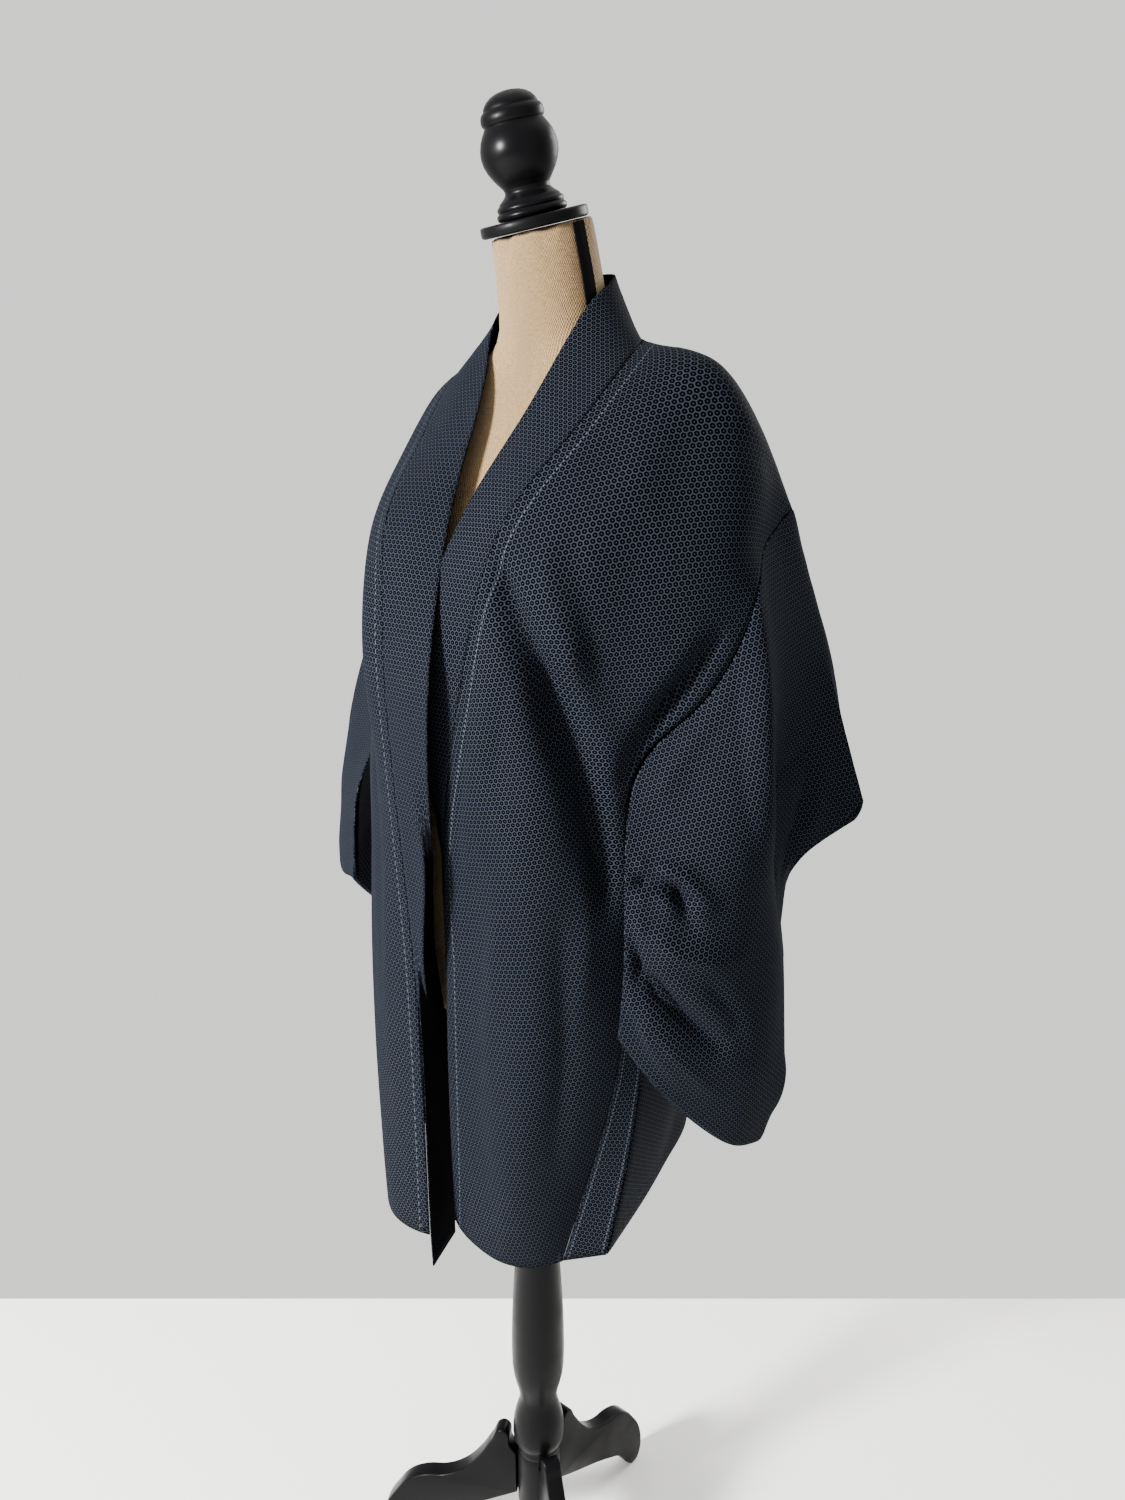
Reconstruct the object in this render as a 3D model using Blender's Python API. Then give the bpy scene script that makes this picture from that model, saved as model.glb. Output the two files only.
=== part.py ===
"""A haori (short open kimono jacket) hanging on a limbless dress form with a turned wooden stand.

Metres, +Z up. The wearer's front faces -Y and the wearer's left is +X. Every measure below is taken
from the axis of the stand's post, and the finished model is then moved so that the middle of its
box stands over the origin, on the floor.

The cloth is worked out from sections: each row of a table is one section across a piece of cloth,
with a named place in each column, and a smooth surface runs through them. Neighbouring pieces share
the points of their seam, and each edge is then drawn back from it by half the seam gap.
"""

import math

import bmesh
import bpy
import numpy as np
from mathutils import Vector

MM = 0.001                 # the tables of cloth sections are written in millimetres

# Driving sizes of the cloth
CLOTH_WALL = 0.0014        # woven cloth with its turned hems
SEAM_GAP = 0.0006          # between two pieces, measured along the cloth
LARGEST_SETBACK = 0.006    # no edge is drawn back further than this
ARMHOLE_SETBACK = 0.0010   # the sleeve's own edge, where the cloth turns over the shoulder
UNDERARM_SETBACK = 0.0030  # the same at the end of the armhole, where three pieces meet
COLLAR_SETBACK = 0.0009    # the band's own edge, where it turns under its front
NAPE_STEP = 0.0012         # the centre back's top corner sits this far below the band
GUSSET_TOP = 0.30          # the gusset's top row stands this much of a row below the armhole

# How finely the cloth is divided
ROW_STEPS = 2              # mesh rows between two sections
COLUMN_STEPS = 3           # mesh columns between two places of a section
BAND_STEPS = 2             # the same across the collar band

# Left front: sections from the hem up to the shoulder fold.
# name, band seam, chest, middle, swell, outer edge (side seam, then armhole from "underarm" up)
FRONT_LEFT = (
    ("hem", (-30, -108, 556), (0, -119, 551), (40, -121, 545), (72, -104, 541), (89, -81, 542)),
    ("shin", (-24, -118, 650), (12, -126, 650), (55, -124, 650), (93, -100, 650), (113, -66, 650)),
    ("thigh", (-20, -124, 760), (22, -130, 760), (70, -126, 760), (112, -98, 760), (137, -58, 760)),
    ("hip", (-18, -124, 870), (26, -132, 870), (78, -126, 870), (120, -95, 870), (146, -56, 870)),
    ("waist", (-22, -119, 972), (28, -132, 975), (80, -124, 975), (118, -90, 975), (142, -54, 975)),
    ("underarm", (-4, -128, 1060), (40, -134, 1060), (82, -124, 1060), (115, -92, 1065), (146, -50, 1075)),
    ("rib", (18, -131, 1150), (60, -134, 1150), (102, -118, 1145), (145, -72, 1140), (192, -26, 1125)),
    ("bust", (36, -131, 1225), (82, -128, 1220), (128, -108, 1210), (182, -58, 1195), (222, -12, 1178)),
    ("chest", (60, -118, 1295), (105, -108, 1290), (150, -88, 1280), (205, -40, 1255), (233, 2, 1228)),
    ("collar bone", (88, -68, 1355), (130, -62, 1350), (172, -48, 1335),
     (216, -10, 1295), (222, 30, 1262)),
    ("shoulder", (101, -20, 1402), (140, -14, 1396), (180, -4, 1378), (213, 20, 1333), (219, 66, 1278)),
    ("fold", (95, 35, 1433), (135, 36, 1430), (172, 37, 1418), (202, 45, 1375), (222, 92, 1292)),
)

# Left back: sections from behind the neck down to the hem.
# name, neck or centre seam, blade, middle, swell, outer edge (armhole, then side seam)
BACK_LEFT = (
    ("neck", (60, 85, 1440), (112, 90, 1418), (160, 96, 1385), (200, 108, 1320), (220, 122, 1245)),
    ("nape", (0, 112, 1438), (75, 128, 1395), (140, 134, 1345), (188, 134, 1270), (212, 126, 1190)),
    ("blade", (0, 138, 1340), (65, 148, 1315), (125, 148, 1275), (175, 128, 1205), (200, 82, 1130)),
    ("underarm", (0, 148, 1220), (60, 156, 1200), (116, 146, 1170), (148, 74, 1125), (158, -30, 1080)),
    ("waist", (0, 156, 1090), (58, 162, 1080), (110, 146, 1060), (146, 74, 1030), (152, -36, 985)),
    ("hip", (0, 176, 930), (58, 180, 925), (112, 160, 905), (158, 80, 885), (155, -36, 870)),
    ("thigh", (0, 205, 760), (57, 205, 755), (108, 176, 750), (150, 78, 745), (152, -36, 757)),
    ("shin", (0, 226, 645), (55, 223, 640), (100, 186, 637), (130, 75, 637), (143, -46, 650)),
    ("hem", (0, 240, 556), (50, 236, 553), (88, 190, 553), (112, 70, 553), (131, -62, 556)),
)

# Right front and back, with the same columns
FRONT_RIGHT = (
    ("hem", (-36, -141, 556), (-68, -140, 553), (-98, -131, 553), (-128, -104, 553), (-152, -66, 556)),
    ("shin", (-35, -143, 650), (-69, -142, 650), (-101, -133, 650), (-133, -104, 650), (-157, -64, 650)),
    ("thigh", (-34, -145, 760), (-69, -144, 760), (-103, -134, 760), (-136, -103, 760), (-159, -62, 760)),
    ("hip", (-40, -144, 870), (-74, -142, 870), (-106, -131, 870), (-136, -100, 870), (-156, -60, 870)),
    ("waist", (-52, -141, 975), (-82, -136, 975), (-110, -122, 975), (-134, -94, 975), (-150, -56, 975)),
    ("underarm", (-62, -139, 1060), (-90, -132, 1060), (-115, -117, 1060),
     (-135, -90, 1065), (-150, -51, 1075)),
    ("rib", (-70, -136, 1150), (-100, -128, 1150), (-124, -107, 1145),
     (-147, -63, 1135), (-179, -17, 1125)),
    ("bust", (-74, -129, 1220), (-107, -119, 1215), (-129, -91, 1205), (-158, -42, 1190), (-194, 3, 1175)),
    ("chest", (-88, -105, 1287), (-121, -88, 1279), (-142, -59, 1268),
     (-178, -20, 1245), (-204, 18, 1222)),
    ("collar bone", (-88, -56, 1345), (-122, -45, 1334), (-149, -20, 1314),
     (-188, 12, 1282), (-202, 46, 1255)),
    ("shoulder", (-97, -12, 1388), (-127, -1, 1377), (-154, 18, 1357), (-188, 40, 1312), (-203, 74, 1266)),
    ("fold", (-100, 35, 1421), (-127, 44, 1409), (-149, 56, 1393), (-182, 64, 1344), (-206, 96, 1278)),
)
BACK_RIGHT = (
    ("neck", (-60, 85, 1434), (-110, 91, 1404), (-140, 110, 1362), (-178, 120, 1298), (-202, 131, 1232)),
    ("nape", (0, 112, 1438), (-75, 128, 1388), (-128, 142, 1329), (-166, 150, 1260), (-192, 137, 1180)),
    ("blade", (0, 138, 1340), (-65, 148, 1312), (-119, 152, 1270), (-151, 144, 1200), (-187, 91, 1125)),
    ("underarm", (0, 148, 1220), (-60, 156, 1200), (-114, 148, 1170), (-141, 80, 1125), (-160, -28, 1080)),
    ("waist", (0, 156, 1090), (-58, 162, 1080), (-112, 146, 1060), (-150, 74, 1030), (-158, -36, 985)),
    ("hip", (0, 176, 930), (-60, 180, 925), (-120, 160, 905), (-168, 80, 885), (-166, -34, 870)),
    ("thigh", (0, 205, 760), (-62, 204, 755), (-122, 172, 750), (-170, 78, 745), (-174, -28, 757)),
    ("shin", (0, 226, 645), (-62, 220, 640), (-120, 180, 637), (-168, 76, 637), (-174, -26, 650)),
    ("hem", (0, 240, 556), (-62, 230, 553), (-118, 182, 553), (-164, 74, 553), (-172, -24, 556)),
)
UNDERARM_FRONT = 5         # row of each front table where the armhole begins
UNDERARM_BACK = 3          # row of each back table where it ends

# Sleeve layers below the shoulder fold: name, crest, trough, cuff. The inner edge of the rows down to
# the underarm is the body's armhole; the rows below it have an inner edge of their own, the open one.
SLEEVE_FRONT_LEFT = (
    ("fold", (243, 108, 1205), (262, 126, 1115), (287, 150, 1012)),
    ("shoulder", (240, 70, 1190), (250, 106, 1090), (272, 140, 990)),
    ("collar bone", (242, 30, 1165), (236, 88, 1060), (252, 124, 968)),
    ("chest", (252, 6, 1130), (228, 72, 1030), (232, 106, 948)),
    ("bust", (258, -4, 1085), (232, 58, 995), (228, 96, 920)),
    ("rib", (260, -14, 1035), (244, 42, 955), (234, 90, 890)),
    ("underarm", (232, -48, 985), (256, 22, 905), (243, 84, 850)),
)
SLEEVE_BACK_LEFT = (
    ("neck", (250, 130, 1162), (262, 150, 1075), (276, 166, 985)),
    ("nape", (246, 125, 1112), (250, 148, 1025), (231, 146, 945)),
    ("blade", (240, 85, 1055), (228, 132, 970), (216, 132, 900)),
    ("underarm", (222, 10, 1005), (228, 104, 920), (220, 120, 850)),
)
SLEEVE_FRONT_RIGHT = (
    ("fold", (-226, 114, 1195), (-259, 124, 1105), (-288, 142, 1005)),
    ("shoulder", (-223, 73, 1180), (-252, 103, 1082), (-274, 134, 985)),
    ("collar bone", (-218, 33, 1158), (-249, 82, 1055), (-262, 120, 965)),
    ("chest", (-223, 13, 1125), (-252, 64, 1025), (-256, 108, 945)),
    ("bust", (-237, -3, 1085), (-256, 50, 995), (-254, 100, 925)),
    ("rib", (-246, -8, 1045), (-262, 30, 965), (-256, 90, 895)),
    ("underarm", (-240, -22, 1010), (-268, 8, 940), (-258, 78, 865)),
)
SLEEVE_BACK_RIGHT = (
    ("neck", (-233, 136, 1152), (-260, 143, 1065), (-276, 158, 980)),
    ("nape", (-237, 126, 1107), (-252, 144, 1025), (-262, 156, 945)),
    ("blade", (-239, 82, 1057), (-240, 130, 980), (-246, 142, 905)),
    ("underarm", (-226, 12, 1012), (-240, 98, 940), (-240, 118, 865)),
)
# The free part of each layer: name, open inner edge, crest, trough, cuff
FREE_FRONT_LEFT = (
    ("elbow", (156, -82, 985), (214, -64, 905), (258, 5, 840), (253, 74, 790)),
    ("wrist", (160, -86, 900), (206, -66, 835), (252, -4, 770), (261, 62, 730)),
    ("bottom", (154, -85, 820), (190, -64, 765), (228, 0, 690), (244, 46, 672)),
)
FREE_BACK_LEFT = (
    ("elbow", (176, -62, 985), (212, -20, 905), (234, 60, 840), (228, 104, 790)),
    ("wrist", (176, -70, 900), (210, -40, 835), (240, 30, 770), (238, 86, 730)),
    ("bottom", (160, -78, 818), (196, -54, 763), (232, 10, 690), (244, 56, 676)),
)
FREE_FRONT_RIGHT = (
    ("elbow", (-166, -78, 1010), (-234, -34, 965), (-268, 2, 915), (-262, 70, 840)),
    ("wrist", (-176, -78, 955), (-230, -44, 925), (-270, -2, 895), (-264, 66, 815)),
    ("bottom", (-180, -76, 900), (-226, -48, 886), (-270, -2, 872), (-262, 62, 790)),
)
FREE_BACK_RIGHT = (
    ("elbow", (-186, -52, 1010), (-224, -6, 965), (-250, 52, 915), (-240, 104, 840)),
    ("wrist", (-190, -58, 955), (-222, -28, 925), (-256, 26, 895), (-244, 92, 815)),
    ("bottom", (-186, -66, 898), (-228, -36, 884), (-268, 10, 870), (-256, 74, 790)),
)

# Collar band: name, fold (the middle of the band, or where it turns in), free edge.
# Its third edge is the seam of the front or the neck beside it.
BAND_LEFT = (
    ("hem", (-22, -86, 554), (6, -84, 553)),
    ("shin", (-16, -96, 650), (14, -94, 650)),
    ("thigh", (-12, -102, 760), (20, -102, 760)),
    ("hip", (-16, -99, 870), (12, -100, 870)),
    ("waist", (-38, -102, 974), (-30, -94, 978)),
    ("underarm", (-32, -122, 1062), (-60, -115, 1064)),
    ("rib", (-12, -131, 1154), (-42, -126, 1158)),
    ("bust", (8, -126, 1232), (-20, -118, 1238)),
    ("chest", (34, -109, 1302), (8, -95, 1310)),
    ("collar bone", (61, -64, 1365), (34, -58, 1373)),
    ("shoulder", (70, -18, 1414), (41, -15, 1425)),
    ("fold", (75, 28, 1453), (53, 20, 1472)),
    ("neck", (56, 77, 1468), (50, 68, 1496)),
    ("nape", (0, 106, 1470), (0, 97, 1500)),
)
BAND_RIGHT = (
    ("hem", (-40, -115, 556), (-48, -87, 556)),
    ("shin", (-40, -116, 650), (-47, -88, 650)),
    ("thigh", (-38, -118, 760), (-45, -90, 760)),
    ("hip", (-26, -149, 870), (-42, -113, 870)),
    ("waist", (-16, -149, 975), (-20, -135, 978)),
    ("underarm", (-34, -146, 1062), (-10, -150, 1064)),
    ("rib", (-40, -143, 1150), (-6, -149, 1150)),
    ("bust", (-44, -130, 1222), (-12, -126, 1224)),
    ("chest", (-58, -100, 1297), (-22, -87, 1305)),
    ("collar bone", (-57, -52, 1362), (-26, -46, 1375)),
    ("shoulder", (-70, -14, 1404), (-42, -10, 1415)),
    ("fold", (-79, 29, 1441), (-58, 22, 1459)),
    ("neck", (-56, 77, 1464), (-51, 68, 1493)),
    ("nape", (0, 106, 1470), (0, 97, 1500)),
)
# The right band hangs below the hem of its front: seam side, fold, free edge
BAND_RIGHT_TIP = ((-31, -143, 522), (-39, -116, 521), (-47, -88, 520))

# Torso of the dress form: name, height, half width, front, back, squareness, slope to the side
TORSO_RINGS = (
    ("base", .752, .105, -.052, .080, 2.2, .00),
    ("base edge", .760, .132, -.070, .106, 2.2, .00),
    ("seat", .790, .146, -.078, .126, 2.2, .00),
    ("hip", .880, .148, -.082, .140, 2.2, .00),
    ("flank", .970, .132, -.084, .122, 2.2, .00),
    ("waist", 1.050, .116, -.088, .104, 2.2, .00),
    ("rib", 1.130, .134, -.102, .112, 2.3, .00),
    ("bust", 1.205, .150, -.108, .122, 2.3, .00),
    ("chest", 1.270, .160, -.084, .122, 2.0, .00),
    ("armpit", 1.315, .165, -.064, .118, 1.8, .03),
    ("collar bone", 1.345, .162, -.048, .112, 1.6, .06),
    ("shoulder", 1.370, .159, -.034, .106, 1.6, .09),
    ("shoulder top", 1.388, .151, -.024, .100, 1.6, .10),
    ("ridge", 1.402, .143, -.016, .096, 1.6, .10),
    ("ridge top", 1.412, .124, -.012, .094, 1.6, .10),
    ("neck foot", 1.420, .096, -.010, .092, 1.7, .10),
    ("neck root", 1.432, .064, -.010, .091, 2.0, .06),
)
# Neck: name, height at its axis, radius, place of its axis, slopes of the ring to the side and back
NECK_RINGS = (
    ("low", 1.450, .0505, .0400, .03, .15),
    ("middle", 1.490, .0485, .0310, .06, .20),
    ("top", 1.534, .0455, .0185, .10, .25),
)
TORSO_SEGMENTS = 28

# Neck ribbons: a strip on each side of the neck, seen from above at this angle from the front
RIBBON_ANGLE = math.radians(78)
RIBBON_HALF_ANGLE = math.radians(8)
RIBBON_WALL = 0.0010
RIBBON_OFF = 0.0004
RIBBON_TRIM = (.0035, 0, -.0020)   # what the strip is short of each ring of the neck

# Cap and finial, square to the neck's top ring
CAP_RADIUS = .049
CAP_THICK = .010
CAP_EDGE = .0012           # the cap's rounded rim
CAP_OFFSET = (-.004, -.004)        # the cap's middle from the middle of the neck's top
WOOD_GAP = .0003           # between two turned pieces of the stand
# Finial: name, height above the cap, radius
FINIAL_PROFILE = (
    ("foot", .0000, .0310), ("foot edge", .0050, .0318), ("step", .0075, .0300), ("bead", .0100, .0302),
    ("bead top", .0135, .0275), ("stem", .0185, .0222), ("waist", .0225, .0202), ("egg low", .0340, .0278),
    ("egg", .0520, .0345), ("egg high", .0660, .0310), ("neck", .0745, .0262), ("ring", .0770, .0276),
    ("ring top", .0850, .0262), ("collar", .0872, .0238), ("dome", .0930, .0205), ("crown", .0975, .0130),
    ("tip", .0995, .0045),
)
TURNED_SEGMENTS = 24

# Post: name, height, radius
POST_PROFILE = (
    ("foot", .176, .0250), ("bead", .186, .0245), ("cove", .192, .0295), ("bulb", .208, .0305),
    ("bulb top", .226, .0285), ("neck", .246, .0228), ("waist", .258, .0222), ("flare", .276, .0255),
    ("belly", .300, .0300), ("belly top", .345, .0305), ("taper", .400, .0285), ("slim", .450, .0250),
    ("shaft", .520, .0215), ("top", .7512, .0200),
)
HUB_PROFILE = (
    ("bottom", .088, .0180), ("bevel", .094, .0240), ("side", .100, .0255), ("side top", .168, .0255),
    ("top", .1757, .0235),
)
# Leg: a flat board cut to an S, from its top at the hub outwards to the foot and back below
LEG_COUNT = 3
LEG_ANGLE = math.radians(84)
LEG_THICK = .020
LEG_OUTLINE = (
    (.0258, .166), (.0340, .178), (.0370, .196), (.046, .199), (.058, .180), (.075, .152), (.095, .130),
    (.118, .117), (.143, .112), (.165, .100), (.182, .078), (.196, .052), (.201, .024), (.198, .008),
    (.192, .000), (.180, .000), (.172, .008), (.162, .024), (.150, .038), (.132, .050), (.105, .066),
    (.078, .080), (.055, .092), (.0258, .108),
)

# Soft folds raised or sunk in the cloth: piece, start and end (column, row as parts of the piece),
# half width, height (negative for a trough)
FOLDS = (
    ("body_left", (.34, .250), (.22, .440), .026, -.006),
    ("body_left", (.62, .280), (.52, .470), .030, -.010),
    ("body_left", (.72, .330), (.84, .500), .020, .004),
    ("body_left", (.30, .030), (.24, .200), .030, -.005),
    ("body_left", (.60, .020), (.62, .160), .028, .004),
    ("body_right", (.45, .040), (.40, .240), .030, -.005),
    ("body_right", (.60, .280), (.52, .470), .028, -.006),
    ("body_left", (.20, .640), (.30, .980), .034, -.007),
    ("body_left", (.58, .620), (.66, .980), .036, -.008),
    ("body_right", (.24, .640), (.20, .980), .034, -.006),
    ("body_right", (.60, .640), (.70, .980), .036, -.008),
)
FOLD_NEAR_SEAM = .6        # folds fade to this beside an edge, and to nothing on it


def table(rows):
    """The places of a table in metres, without its names."""
    return np.array([row[1:] for row in rows], float) * MM


def spline(points, steps):
    """A smooth run through the points along the first axis, with `steps` intervals between two."""
    points = np.asarray(points, float)
    before = 2 * points[:1] - points[1:2]
    after = 2 * points[-1:] - points[-2:-1]
    padded = np.concatenate([before, points, after])
    run = []
    for i in range(len(points) - 1):
        p0, p1, p2, p3 = padded[i:i + 4]
        for step in range(steps):
            t = step / steps
            straight = p1 + t / 2 * (p2 - p0)
            square = p0 - 2.5 * p1 + 2 * p2 - p3 / 2
            cube = 1.5 * (p1 - p2) + (p3 - p0) / 2
            run.append(straight + t ** 2 * square + t ** 3 * cube)
    run.append(points[-1])
    return np.array(run)


def surface(net):
    """A grid of points through a net of rows and columns."""
    rows = spline(net, ROW_STEPS)
    return spline(rows.transpose(1, 0, 2), COLUMN_STEPS).transpose(1, 0, 2)


def unit(vectors):
    return vectors / np.maximum(np.linalg.norm(vectors, axis=-1, keepdims=True), 1e-9)


def add_folds(grid, piece, outward):
    """Raise or sink each fold of the piece, as a soft bell across its line."""
    across = np.gradient(grid, axis=1)
    along = np.gradient(grid, axis=0)
    normals = unit(np.cross(across, along)) * outward
    rows, columns = grid.shape[0] - 1, grid.shape[1] - 1
    fade = np.ones(grid.shape[:2])
    fade[:, 0] = 0
    fade[:, -1] = 0
    fade[:, 1] = FOLD_NEAR_SEAM
    fade[:, -2] = FOLD_NEAR_SEAM
    moved = grid.copy()
    for name, start, end, half_width, height in FOLDS:
        if name != piece:
            continue
        a = grid[round(start[1] * rows), round(start[0] * columns)]
        b = grid[round(end[1] * rows), round(end[0] * columns)]
        share = np.clip(((grid - a) @ (b - a)) / ((b - a) @ (b - a)), 0, 1)
        distance = np.linalg.norm(grid - (a + share[..., None] * (b - a)), axis=2)
        bell = np.exp(-(distance / half_width) ** 2)
        moved = moved + normals * (bell * fade * height)[..., None]
    return moved


def drawn_back(edge, inner, beyond, least=SEAM_GAP / 2):
    """The edge's points drawn back towards `inner`, far enough for the turn to the piece beyond."""
    back = unit(inner - edge)
    ahead = unit(beyond - edge)
    turn = np.arccos(np.clip(-(back * ahead).sum(-1), -1, 1))
    setback = least + CLOTH_WALL / 2 * np.tan(np.minimum(turn, 2.8) / 2)
    return edge + back * np.minimum(setback, LARGEST_SETBACK)[..., None]


def material(name, color, roughness):
    made = bpy.data.materials.new(name)
    made.use_nodes = True
    shader = made.node_tree.nodes["Principled BSDF"]
    shader.inputs["Base Color"].default_value = (*color, 1)
    shader.inputs["Roughness"].default_value = roughness
    return made


def new_object(name, points, faces, finish, smooth=True):
    mesh = bpy.data.meshes.new(name)
    mesh.from_pydata([tuple(float(value) for value in point) for point in points], [], faces)
    shape = bmesh.new()
    shape.from_mesh(mesh)
    bmesh.ops.recalc_face_normals(shape, faces=shape.faces)
    shape.to_mesh(mesh)
    shape.free()
    if smooth:
        mesh.shade_smooth()
        mesh.set_sharp_from_angle(angle=math.radians(40))
    mesh.materials.append(finish)
    made = bpy.data.objects.new(name, mesh)
    bpy.context.scene.collection.objects.link(made)
    return made


def grid_faces(rows, columns, start=0):
    faces = []
    for r in range(rows - 1):
        for c in range(columns - 1):
            corner = start + r * columns + c
            faces.append((corner, corner + 1, corner + columns + 1, corner + columns))
    return faces


def ring_faces(rings, segments):
    """Faces round a stack of rings, closed at the bottom and the top."""
    faces = [tuple(reversed(range(segments)))]
    for ring in range(rings - 1):
        for i in range(segments):
            j = (i + 1) % segments
            low, high = ring * segments, (ring + 1) * segments
            faces.append((low + i, low + j, high + j, high + i))
    faces.append(tuple(range((rings - 1) * segments, rings * segments)))
    return faces


def wall(name, points, faces, finish, thickness=CLOTH_WALL):
    """A sheet of cloth given its thickness, half to each side."""
    made = new_object(name, points, faces, finish)
    solid = made.modifiers.new("Wall", "SOLIDIFY")
    solid.thickness = thickness
    solid.offset = 0
    solid.use_even_offset = True
    solid.use_rim = True
    return made


def lathe(name, profile, finish, place=(0, 0, 0), upright=(0, 0, 1)):
    """A turned piece: rings of a profile round an axis."""
    points = []
    for _, height, radius in profile:
        for i in range(TURNED_SEGMENTS):
            angle = 2 * math.pi * i / TURNED_SEGMENTS
            points.append((radius * math.cos(angle), radius * math.sin(angle), height))
    made = new_object(name, points, ring_faces(len(profile), TURNED_SEGMENTS), finish)
    made.location = place
    made.rotation_euler = Vector(upright).to_track_quat("Z", "Y").to_euler()
    return made


def sleeve_nets(front, back, sleeve_front, sleeve_back, free_front, free_back):
    """Rows of both sleeve layers: armhole or open edge, crest, trough and cuff."""
    front_hole = table(front)[:UNDERARM_FRONT - 1:-1, -1:]
    back_hole = np.concatenate([front_hole[:1], table(back)[:UNDERARM_BACK + 1, -1:]])
    front_rows = np.concatenate([front_hole, table(sleeve_front)], 1)
    back_rows = np.concatenate([back_hole, table(sleeve_front[:1] + sleeve_back)], 1)
    return np.concatenate([front_rows, table(free_front)]), np.concatenate([back_rows, table(free_back)])


def armhole_setbacks(count):
    """The least setback along an armhole from the fold down, larger at the underarm."""
    least = np.full(count, ARMHOLE_SETBACK)
    least[-1] = UNDERARM_SETBACK
    return least


def make_side(side, tables, cloth):
    """One half of the garment. Makes its sleeve and gusset; gives back its body and collar seam."""
    front, back = tables[:2]
    outward = 1 if side == "left" else -1
    grid = surface(np.concatenate([table(front), table(back)]))
    grid = add_folds(grid, "body_" + side, outward)
    fold_row = (len(front) - 1) * ROW_STEPS
    under_front = UNDERARM_FRONT * ROW_STEPS
    under_back = fold_row + (UNDERARM_BACK + 1) * ROW_STEPS
    nape_row = fold_row + 2 * ROW_STEPS
    grid[nape_row:, 0, 0] = 0

    # Sleeve: both layers from the shared fold down, each with the armhole as its inner edge
    hole_front = grid[under_front:fold_row + 1, -1][::-1]
    hole_back = grid[fold_row:under_back + 1, -1]
    front_net, back_net = sleeve_nets(*tables)
    front_layer, back_layer = surface(front_net), surface(back_net)
    count_front, count_back = len(hole_front), len(hole_back)
    inner_front = front_layer[:count_front, 1].copy()
    inner_back = back_layer[:count_back, 1].copy()
    body_front = grid[under_front:fold_row + 1, -2][::-1]
    body_back = grid[fold_row:under_back + 1, -2]
    front_layer[:count_front, 0] = drawn_back(hole_front, inner_front, body_front,
                                              armhole_setbacks(count_front))
    back_layer[:count_back, 0] = drawn_back(hole_back, inner_back, body_back,
                                            armhole_setbacks(count_back))
    back_layer[0] = front_layer[0]
    make_sleeve(side, front_layer, back_layer, count_front - 1, count_back - 1, cloth)

    # Gusset between the two side seams, from the hem to just under the arm
    front_seam = grid[:under_front + 1, -1]
    back_seam = grid[under_back:, -1][::-1]
    front_inner = grid[:under_front + 1, -2]
    back_inner = grid[under_back:, -2][::-1]
    make_gusset(side, front_seam, back_seam, front_inner, back_inner, cloth)

    # Body length, with its outer edge drawn back from the gusset and the sleeve
    body = grid.copy()
    beyond = np.concatenate([back_seam[:-1], inner_front[::-1], inner_back[1:], front_seam[::-1][1:]])
    least = np.full(len(body), SEAM_GAP / 2)
    least[[under_front, under_back]] = ARMHOLE_SETBACK
    body[:, -1] = drawn_back(grid[:, -1], grid[:, -2], beyond, least)
    return body, nape_row


def make_sleeve(side, front_layer, back_layer, open_front, open_back, cloth):
    """A bag: two layers joined along the fold, along the bottom and up the cuff to the hand opening."""
    columns = front_layer.shape[1]
    last = columns - 1
    back_start = len(front_layer) * columns
    back_rows = len(back_layer) - 1
    points = np.concatenate([front_layer.reshape(-1, 3), back_layer[1:].reshape(-1, 3)])
    faces = grid_faces(len(front_layer), columns)
    faces += [tuple(reversed(face)) for face in grid_faces(back_rows, columns, back_start)]
    front_bottom = back_start - columns
    back_bottom = back_start + (back_rows - 1) * columns
    for c in range(last):
        faces.append((c + 1, c, back_start + c, back_start + c + 1))
        faces.append((front_bottom + c, front_bottom + c + 1, back_bottom + c + 1, back_bottom + c))
    for step in range(len(front_layer) - 1 - open_front):
        f = (open_front + step) * columns + last
        b = back_start + (open_back - 1 + step) * columns + last
        faces.append((f, f + columns, b + columns, b))
    wall("sleeve_" + side, points, faces, cloth)


def make_gusset(side, front_seam, back_seam, front_inner, back_inner, cloth):
    """The tapered machi: a narrow strip between the side seams, with its top just under the armhole."""
    front = drawn_back(front_seam, back_seam, front_inner)
    back = drawn_back(back_seam, front_seam, back_inner)
    strip = np.stack([front, (2 * front + back) / 3, (front + 2 * back) / 3, back], 1)
    strip[-1] = strip[-1] * (1 - GUSSET_TOP) + strip[-2] * GUSSET_TOP
    wall("machi_" + side, strip.reshape(-1, 3), grid_faces(len(strip), 4), cloth)


def between(start, end, steps):
    return [start + (end - start) * step / steps for step in range(steps)]


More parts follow.
